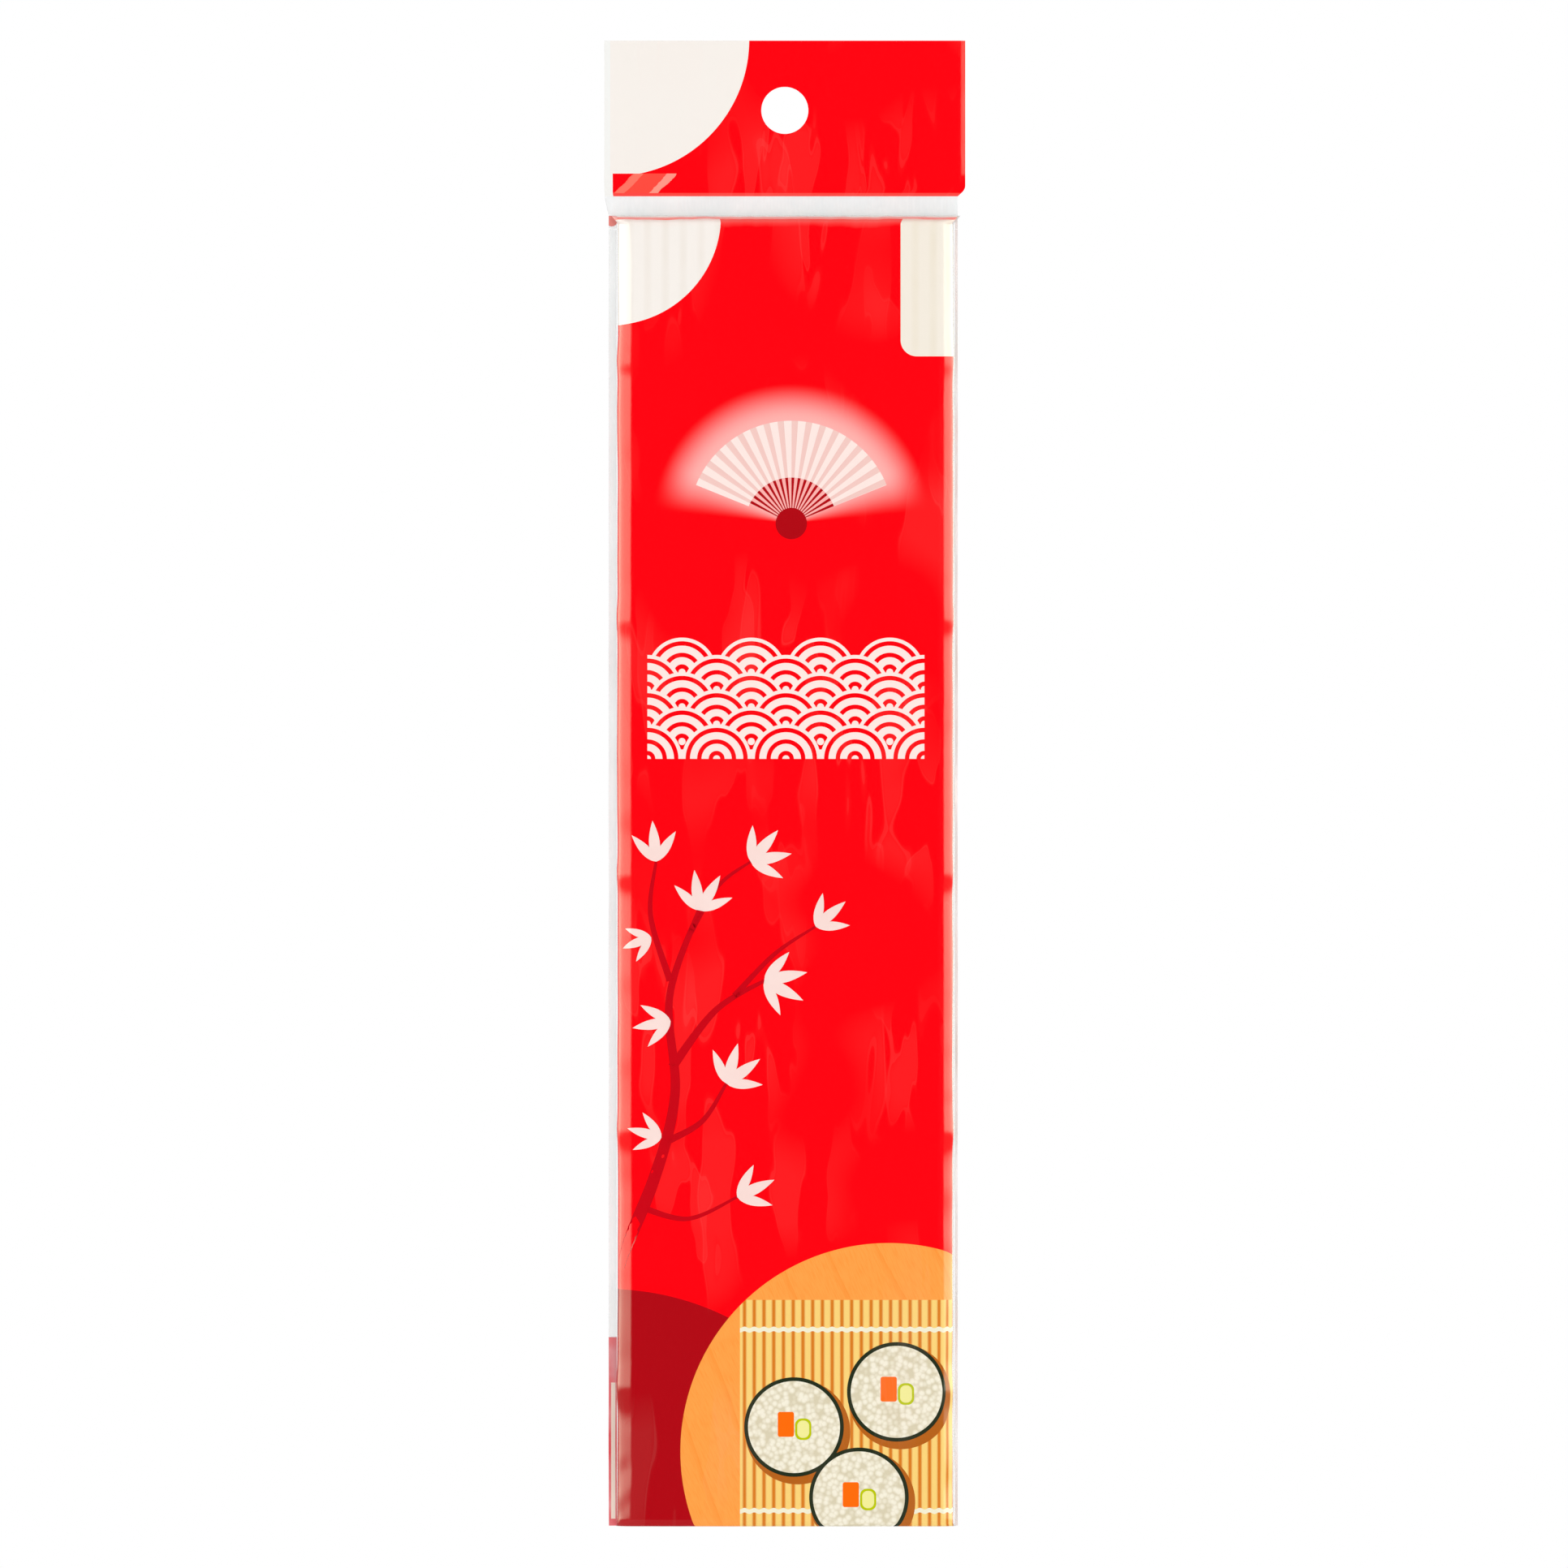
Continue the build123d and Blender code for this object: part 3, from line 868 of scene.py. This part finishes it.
def filmRipple(s, t, face):
    r = ripple
    side = math.copysign(1, s)
    fromFlat = (abs(s) - bag["flat"]) / mm
    onFace = max(0.0, min(1.0, (r["edgeFade"][0] - fromFlat) / r["edgeFade"][1]))
    rows = sum(math.exp(-((t - level) / r["rowWidth"]) ** 2) for level in rowLevels)
    slats = r["slats"] * math.cos(2 * math.pi * s / bag["slatPitch"])
    soft = lumps(r["soft"], s, t, face * 3.1)
    patch = max(0.0, patches(r["patch"], s, t, 11.0 + face)) * 2
    pulled = patch * (creases(r["pulled"], s, t, 5.0 + face) + creases(r["creased"], s, t, 9.0 + face))
    nearTop = math.exp(-max(0.0, bag["shoulder"] - t) / r["gatheredReach"])
    gathered = nearTop * lumps(r["gathered"], s, t, 2.0 + face)
    inward, upward = r["crumpledReach"]
    inCorner = math.exp(-max(0.0, t - bag["bottom"]) / upward - max(0.0, r["crumpledFrom"] - abs(s)) / inward)
    crumpled = inCorner * lumps(r["crumpled"], s, t, 4.0 + face)
    if side < 0:
        crumpled *= r["crumpledLeft"]
    (wave, waveLength), (fineShare, fineLength) = r["edgeWave"], r["edgeFine"]
    coarse = noise.noise(Vector((side * 7, t / waveLength, 1.7)))
    fineWave = fineShare * noise.noise(Vector((side * 3, t / fineLength, 8.2)))
    edge = wave * (coarse + fineWave) + r["edgeRows"] * rows - r["settle"]
    flat = slats + r["rows"] * rows + soft + pulled - r["settle"]
    return onFace * flat + (1 - onFace) * edge + gathered + crumpled


def filmPoint(s, t, face, lift=0.0):
    x, depth, normalX, normalY = acrossFilm(s)
    z, wide, deep, tilt = t, 1.0, 1.0, 0.0
    swell = filmRipple(s, t, face)
    if t > bag["shoulder"]:
        a = min(1.0, (t - bag["shoulder"]) / bag["shoulderRun"]) * math.pi / 2
        thin = bag["sealDepth"] / bag["depth"]
        deep = thin + (1 - thin) * math.cos(a)
        z = bag["shoulder"] + (sealLow.z - bag["shoulder"]) * math.sin(a)
        sealHalf = (sealHigh.x - sealLow.x) / 2
        wide = 1 + (sealHalf / bag["halfWidth"] - 1) * math.sin(a)
        tilt = a
        swell *= math.cos(a)
    elif t < bag["bottomStart"]:
        down, arc = bag["bottomStart"] - t, bag["bottomRound"] * math.pi / 2
        a = min(1.0, down / arc) * math.pi / 2
        left = bag["depth"] - bag["bottomRound"] * (1 - math.cos(a)) - max(0.0, down - arc)
        deep = max(0.0, left) / bag["depth"]
        z = bag["bottomStart"] - bag["bottomRound"] * math.sin(a)
        tilt = -a
        swell *= math.cos(a)
    out = Vector((normalX * math.cos(tilt), face * normalY * math.cos(tilt), math.sin(tilt)))
    return Vector((bag["middle"] + x * wide, face * depth * deep, z)) + out * (swell + lift)


def addPiece(bm, name, materials, body, wall=0.0):
    for edge in bm.edges:
        edge.smooth = not edge.is_boundary  # a cut film edge stays crisp
    mesh = bpy.data.meshes.new(name)
    bm.to_mesh(mesh)
    bm.free()
    for polygon in mesh.polygons:
        polygon.use_smooth = True
    piece = addObject(name, mesh)
    for material in materials:
        mesh.materials.append(material)
    if wall:
        thickness = piece.modifiers.new("filmWall", "SOLIDIFY")
        thickness.thickness = wall
        thickness.offset = -1
    if body:
        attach(piece, body)
    return piece


def mapPrint(bm):
    # the print map is the flat film itself, in millimetres
    layer = bm.loops.layers.uv["print"]
    for loopFace in bm.faces:
        for loop in loopFace.loops:
            loop[layer].uv = (loop.vert.co.x / mm, loop.vert.co.y / mm)


def flatGrid(low, high, cell):
    bm = bmesh.new()
    bm.loops.layers.uv.new("print")
    size = [high[i] - low[i] for i in (0, 1)]
    columns, rows = [math.ceil(size[i] / cell[i]) for i in (0, 1)]
    bmesh.ops.create_grid(bm, x_segments=columns, y_segments=rows, size=0.5)
    bmesh.ops.scale(bm, verts=bm.verts, vec=(size[0], size[1], 1))
    bmesh.ops.translate(bm, verts=bm.verts, vec=((low[0] + high[0]) / 2, (low[1] + high[1]) / 2, 0))
    mapPrint(bm)
    return bm


def makeFilm(name, face, low, high, material, body, cell):
    bm = flatGrid((-bag["halfGirth"], low), (bag["halfGirth"], high), cell)
    for v in bm.verts:
        v.co = filmPoint(v.co.x, v.co.y, face)
    if face > 0:
        bmesh.ops.reverse_faces(bm, faces=bm.faces)
    return addPiece(bm, name, [material], body, bag["wall"])


foot = bag["bottomStart"] - bag["bottomRun"]
crown = bag["shoulder"] + bag["shoulderRun"]
frontFilm = makeFilm("frontFilm", -1, foot, bag["tear"], frontInk, "bag", bag["cell"])
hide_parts("front_film", "bottom_fold")
backFilm = makeFilm("backFilm", 1, foot, bag["tear"], backInk, "bag", bag["cell"])
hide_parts("back_film")
frontShoulder = makeFilm("frontShoulder", -1, bag["tear"], crown, frontInk, "seal", bag["shoulderCell"])
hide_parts("front_shoulder")
backShoulder = makeFilm("backShoulder", 1, bag["tear"], crown, backInk, "seal", bag["shoulderCell"])
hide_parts("back_shoulder")
print("bag film made")


# Side welds: flat clear strips outside the roll

weldWork = {
    "wall": 0.16 * mm,
    "cell": (0.25 * mm, 0.8 * mm),
    "wave": (0.1 * mm, 17 * mm),  # height and length
    "curl": (0.5 * mm, 12 * mm),
}


def makeWeld(name, node, side, material, body, levels, k):
    low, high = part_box(node)
    bm = flatGrid((low.x, levels[0]), (high.x, levels[1]), k["cell"])
    inner = low.x if side > 0 else high.x
    (waveHeight, waveLength), (curlHeight, curlLength) = k["wave"], k["curl"]
    for v in bm.verts:
        x, z = v.co.x, v.co.y
        out = abs(x - inner) / (high.x - low.x)
        wave = waveHeight * noise.noise(Vector((side * 5, z / waveLength, 3.0)))
        curl = curlHeight * noise.noise(Vector((side * 9, z / curlLength, 6.0)))
        v.co = Vector((x + side * out * wave, out * curl, z))
    strip = addPiece(bm, name, [material], body, k["wall"])
    return strip


for side, node, film, topFilm in (("left", "left_side_weld", leftFilm, leftTopFilm),
                                  ("right", "right_side_weld", clearFilm, clearFilm)):
    low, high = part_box(node)
    way = -1 if side == "left" else 1
    strip = makeWeld(side + "Weld", node, way, film, "bag", (low.z, high.z), weldWork)
    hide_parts(node)
    makeWeld(side + "WeldTop", node, way, topFilm, "seal", (bag["tear"], sealLow.z), weldWork)
print("side welds made")


# Seal: the two films welded together in fine upright ribs

sealBand = {
    "ribPitch": 1.28 * mm,
    "ribDepth": 0.05 * mm,
    "wall": 0.34 * mm,
    "perRib": 8,
    "rows": 10,
    "ribFade": (4, 5),  # how soon the ribs begin above the foot and end below the top
    "ribUneven": (0.4, 5 * mm, 2 * mm),  # share, width and height
    "bow": (0.12 * mm, 16 * mm, 6 * mm),
    "leftFlare": 0.7 * mm,  # its left end leans out to meet the header's edge
    "flareWidth": 8 * mm,
}


def makeSeal(k):
    # the seal's front face, whose wall is added behind it
    height = sealHigh.z - sealLow.z
    cell = (k["ribPitch"] / k["perRib"], height / k["rows"])
    bm = flatGrid((sealLow.x, sealLow.z), (sealHigh.x, sealHigh.z), cell)
    for v in bm.verts:
        x, z = v.co.x, v.co.y
        up = (z - sealLow.z) / height
        pressed = min(1.0, k["ribFade"][0] * up) * min(1.0, k["ribFade"][1] * (1 - up))
        strength = 1 - k["ribUneven"][0] + lumps(k["ribUneven"], x, z, 2.2)
        rib = k["ribDepth"] * pressed * strength * math.cos(2 * math.pi * x / k["ribPitch"])
        out = max(0.0, (sealLow.x + k["flareWidth"] - x) / k["flareWidth"]) * up * k["leftFlare"]
        v.co = Vector((x - out, rib + lumps(k["bow"], x, z, 7.7) * pressed - k["wall"] / 2, z))
    return addPiece(bm, "crimpedSeal", [sealFilm], "seal", k["wall"])


seal = makeSeal(sealBand)
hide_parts("crimp_seal")
print("seal made")


# Header: two films printed red, with the hanging hole, bending at its foot along the seal

header = {
    "cell": 0.4 * mm,
    "holeRadius": 4.35 * mm,
    "wall": 0.36 * mm,
    "rightTaper": 1.9 * mm,
    "leftTaper": 0.9 * mm,
    "flatFoot": 1.0 * mm,  # above the crease, before the waves begin
    "settleHeight": 3 * mm,
    "wave": (0.22 * mm, 26 * mm, 18 * mm),  # depth, width and height
    "patch": (17 * mm, 12 * mm),
    "crease": (0.22 * mm, 4 * mm, 14 * mm, math.radians(-12), 9),  # then its lean and how sharp it is
    "crumple": (0.3 * mm, 2.6 * mm, 2.2 * mm),
    "crumpleFrom": 5 * mm,  # from the left edge
    "crumpleReach": (7 * mm, 3.5 * mm),
    "curlWidth": 1.15 * mm,
    "curlSlope": 0.56,
}


def makeHeader(h):
    low = (headerLow.x, sealHigh.z)
    high = (headerHigh.x, headerHigh.z)
    bm = flatGrid(low, high, (h["cell"], h["cell"]))
    inHole = [v for v in bm.verts if v.co.length < h["holeRadius"]]
    bmesh.ops.delete(bm, geom=inHole, context="VERTS")
    rim = [v for v in bm.verts if v.is_boundary and v.co.length < h["holeRadius"] + 2 * h["cell"]]
    for v in rim:
        v.co = v.co.normalized() * h["holeRadius"]
    mapPrint(bm)
    reachAcross, reachUp = h["crumpleReach"]
    for v in bm.verts:
        x, z = v.co.x, v.co.y
        up = min(1.0, (z - low[1]) / (h["rightTaper"] if x > 0 else h["leftTaper"]))
        foot = sealHigh.x if x > 0 else sealLow.x - sealBand["leftFlare"]
        width = abs(foot) + (headerHigh.x - abs(foot)) * math.sin(up * math.pi / 2)
        settle = min(1.0, max(0.0, (z - low[1] - h["flatFoot"]) / h["settleHeight"]))
        wave = lumps(h["wave"], x, z, 4.4)
        wave += max(0.0, patches(h["patch"], x, z, 2.9)) * creases(h["crease"], x, z, 3.3)
        inward, above = (x - low[0] - h["crumpleFrom"]) / reachAcross, (z - low[1]) / reachUp
        inCorner = math.exp(-inward ** 2 - above ** 2)
        wave += inCorner * lumps(h["crumple"], x, z, 6.1)
        curl = max(0.0, x - headerHigh.x + h["curlWidth"]) * h["curlSlope"]
        v.co = Vector((x / headerHigh.x * width, settle * (wave + curl) - h["wall"] / 2, z))
    return addPiece(bm, "headerFilm", [headerInk], None, h["wall"])


headerFilm = makeHeader(header)
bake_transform(headerFilm)
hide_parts("header_front_film", "header_back_film", "fold_line")
print("header made")


# Leaf sprays printed in the lower half of the front, lying just proud of the film

leaves = {
    "stemLift": 0.035 * mm,
    "lift": 0.05 * mm,
    "overlap": 0.008 * mm,  # each leaf of a spray lies this much above the one before
    "stems": [  # points, then the width at the foot, in mm across and up the film
        [(-31.5, -214.0), (-24.5, -198.0), (-20.5, -182.0), (-21.5, -164.0), (-16.0, -148.0), 2.6],
        [(-21.0, -177.0), (-13.0, -166.5), (-4.0, -161.0), 1.7],
        [(-21.4, -161.0), (-25.0, -149.0), (-24.0, -139.0), 1.3],
        [(-17.6, -152.0), (-12.5, -143.5), (-6.5, -139.0), 1.1],
        [(-9.5, -163.8), (-2.0, -156.0), (5.5, -151.0), 1.1],
        [(-22.6, -191.0), (-15.5, -187.0), (-11.0, -180.0), 1.4],
        [(-26.5, -203.0), (-18.0, -205.0), (-9.0, -201.0), 1.2],
    ],
    "sprays": [  # foot, lean in degrees, number of leaves and their length in mm
        [(-16.0, -148.0), 78, 4, 8.0],
        [(-4.0, -161.0), -8, 4, 8.6],
        [(-24.0, -139.0), 95, 3, 7.6],
        [(-6.5, -139.0), 30, 4, 8.2],
        [(5.5, -151.0), 40, 3, 7.2],
        [(-21.3, -168.5), 190, 3, 7.2],
        [(-11.0, -180.0), 55, 4, 8.2],
        [(-9.0, -201.0), 25, 3, 7.6],
        [(-23.0, -190.0), 165, 3, 6.6],
        [(-24.9, -153.0), 200, 3, 6.0],
    ],
    "fan": 38.0,  # degrees from leaf to leaf
    "leafShare": 0.27,  # of its length, across
    "leafCells": (10, 4),
    "leafShape": (0.8, 0.9),  # how far out it is widest, and how full it is
    "outerShorter": 0.12,
    "stemTaper": 0.65,
    "stemSteps": 14,
    "inkTone": 6.25 * mm,  # between the patches of slightly different tone
}


# Printing ink on film: flat, slightly uneven colour with the film's own gloss
def inkMaterial(name, colour, worn, k):
    material, tree, shader = newMaterial(name)
    place = addNode(tree, "ShaderNodeTexCoord")["Object"]
    tone = cloudNoise(tree, place, k["inkTone"], 3.0)
    ink = layInk(tree, linearColour(colour), tone, worn)
    feed(tree, shader, {"Base Color": ink, "Roughness": filmFinish["roughness"]})
    return material


blushInk = inkMaterial("blushInkOnFilm", printColours["blush"], printColours["blushWorn"], leaves)
stemInk = inkMaterial("darkRedInkOnFilm", printColours["branch"], printColours["branchWorn"], leaves)


def addLeaf(bm, start, angle, length, lift, k):
    along, across = k["leafCells"]
    widest, full = k["leafShape"]
    grown = bmesh.ops.create_grid(bm, x_segments=along, y_segments=across, size=0.5)["verts"]
    c, n = math.cos(math.radians(angle)), math.sin(math.radians(angle))
    for v in grown:
        u, w = v.co.x + 0.5, v.co.y * 2
        half = length * k["leafShare"] / 2 * math.sin(math.pi * u ** widest) ** full if 0 < u < 1 else 0.0
        along, across = u * length, w * half
        s = start[0] + along * c - across * n
        t = start[1] + along * n + across * c
        v.co = filmPoint(s * mm, t * mm, -1, lift)


def addStem(bm, points, width, lift, k):
    # a tapering strip along a smooth curve through the points
    legs = len(points) - 1
    grown = bmesh.ops.create_grid(bm, x_segments=k["stemSteps"] * legs, y_segments=1, size=0.5)["verts"]
    for v in grown:
        u = (v.co.x + 0.5) * legs
        leg = min(int(u), legs - 1)
        before, here, there, beyond = (Vector(points[max(0, min(legs, leg + i))]) for i in (-1, 0, 1, 2))
        f = u - leg
        spot = 0.5 * (2 * here + (there - before) * f + (2 * before - 5 * here + 4 * there - beyond) * f * f
                      + (3 * here - before - 3 * there + beyond) * f ** 3)
        way = (there - here).normalized()
        half = v.co.y * width * (1 - k["stemTaper"] * u / legs)
        v.co = filmPoint((spot.x - way.y * half) * mm, (spot.y + way.x * half) * mm, -1, lift)


def makeLeaves(k):
    bm = bmesh.new()
    for *points, width in k["stems"]:
        addStem(bm, points, width, k["stemLift"], k)
    addPiece(bm, "printedStems", [stemInk], "bag")
    bm = bmesh.new()
    for start, angle, count, length in k["sprays"]:
        for n in range(count):
            turn = angle + (n - (count - 1) / 2) * k["fan"]
            size = length * (1 - k["outerShorter"] * abs(n - (count - 1) / 2))
            addLeaf(bm, start, turn, size, k["lift"] + n * k["overlap"], k)
    bmesh.ops.remove_doubles(bm, verts=bm.verts, dist=0.01 * mm)
    addPiece(bm, "printedLeaves", [blushInk], "bag")


makeLeaves(leaves)
print("leaf print made")


# Cords: each row has two, and every row runs the same way round the roll, so two shapes serve all ten

cordWork = {"facetShare": 0.22}


def cordShape(node, k):
    # a merged copy of the cord's own woven form, with fewer facets
    bm = bmesh.new()
    bm.from_mesh(node.data)
    bmesh.ops.remove_doubles(bm, verts=bm.verts, dist=0.001 * mm)
    mesh = bpy.data.meshes.new("cordShape")
    bm.to_mesh(mesh)
    bm.free()
    shape = addObject("cordShape", mesh)
    thinner = shape.modifiers.new("fewerFacets", "DECIMATE")
    thinner.ratio = k["facetShare"]
    made = bpy.data.meshes.new_from_object(shape.evaluated_get(bpy.context.evaluated_depsgraph_get()))
    bpy.data.objects.remove(shape)
    return made


def makeCords(k):
    for strand in "ab":
        first = f"cord_1{strand}"
        shape = cordShape(nodes[first], k)
        for row in range(1, 6):
            name = f"cord_{row}{strand}"
            bm = bmesh.new()
            bm.from_mesh(shape)
            bmesh.ops.translate(bm, verts=bm.verts, vec=(0, 0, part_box(name)[0].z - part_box(first)[0].z))
            cord = addPiece(bm, f"bindingCord{row}{strand}", [cotton], "mat")
            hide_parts(name)


makeCords(cordWork)
print("cords made")


# Knots: both cords of a row tied together in an overhand knot

knotWork = {
    "radius": 0.68 * mm,
    "cord": 0.2 * mm,
    "steps": 24,
    "depth": 1.4,  # how far the loops pass over and under each other
    "coreShare": 0.75,
    "turns": (("X", 70, 23), ("Z", 0, 40)),  # degrees, and how many more from row to row
}


def knotPath(k):
    # the three crossing loops of an overhand knot
    curve = bpy.data.curves.new("knotPath", "CURVE")
    curve.dimensions = "3D"
    curve.bevel_depth = k["cord"]
    curve.bevel_resolution = 2
    curve.resolution_u = 4
    line = curve.splines.new("NURBS")
    line.points.add(k["steps"] - 1)
    for n, point in enumerate(line.points):
        a = 2 * math.pi * n / k["steps"]
        x, y = math.sin(a) + 2 * math.sin(2 * a), math.cos(a) - 2 * math.cos(2 * a)
        spot = Vector((x, y, -k["depth"] * math.sin(3 * a)))
        point.co = (*(spot / 3 * k["radius"]), 1)
    line.order_u = 3
    line.use_cyclic_u = True
    holder = bpy.data.objects.new("knotPath", curve)
    mesh = bpy.data.meshes.new_from_object(holder)
    bpy.data.objects.remove(holder)
    return mesh


def makeKnots(name, node, k):
    tied = knotPath(k)
    low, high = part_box(node)
    middle = (low + high) / 2
    bm = bmesh.new()
    for row, level in enumerate(rowLevels):
        spun = bmesh.new()
        spun.from_mesh(tied)
        for axis, angle, further in k["turns"]:
            turn = Matrix.Rotation(math.radians(angle + further * row), 4, axis)
            bmesh.ops.transform(spun, matrix=turn, verts=spun.verts)
        bmesh.ops.translate(spun, verts=spun.verts, vec=(middle.x, middle.y, level))
        mesh = bpy.data.meshes.new("oneKnot")
        spun.to_mesh(mesh)
        spun.free()
        bm.from_mesh(mesh)
        core = bmesh.ops.create_icosphere(bm, subdivisions=2, radius=k["radius"] * k["coreShare"])["verts"]
        bmesh.ops.translate(bm, verts=core, vec=(middle.x, middle.y, level))
    knots = addPiece(bm, name, [cotton], "mat")
    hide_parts(node)


makeKnots("innerKnots", "inner_end_knots", knotWork)
makeKnots("outerKnots", "outer_end_knots", knotWork)
print("knots made")


# The slats stay as the CAD made them and take their bamboo here
for name, node in nodes.items():
    if name.startswith("slat_"):
        node.data.materials.clear()
        node.data.materials.append(bamboo)
print("slats finished")
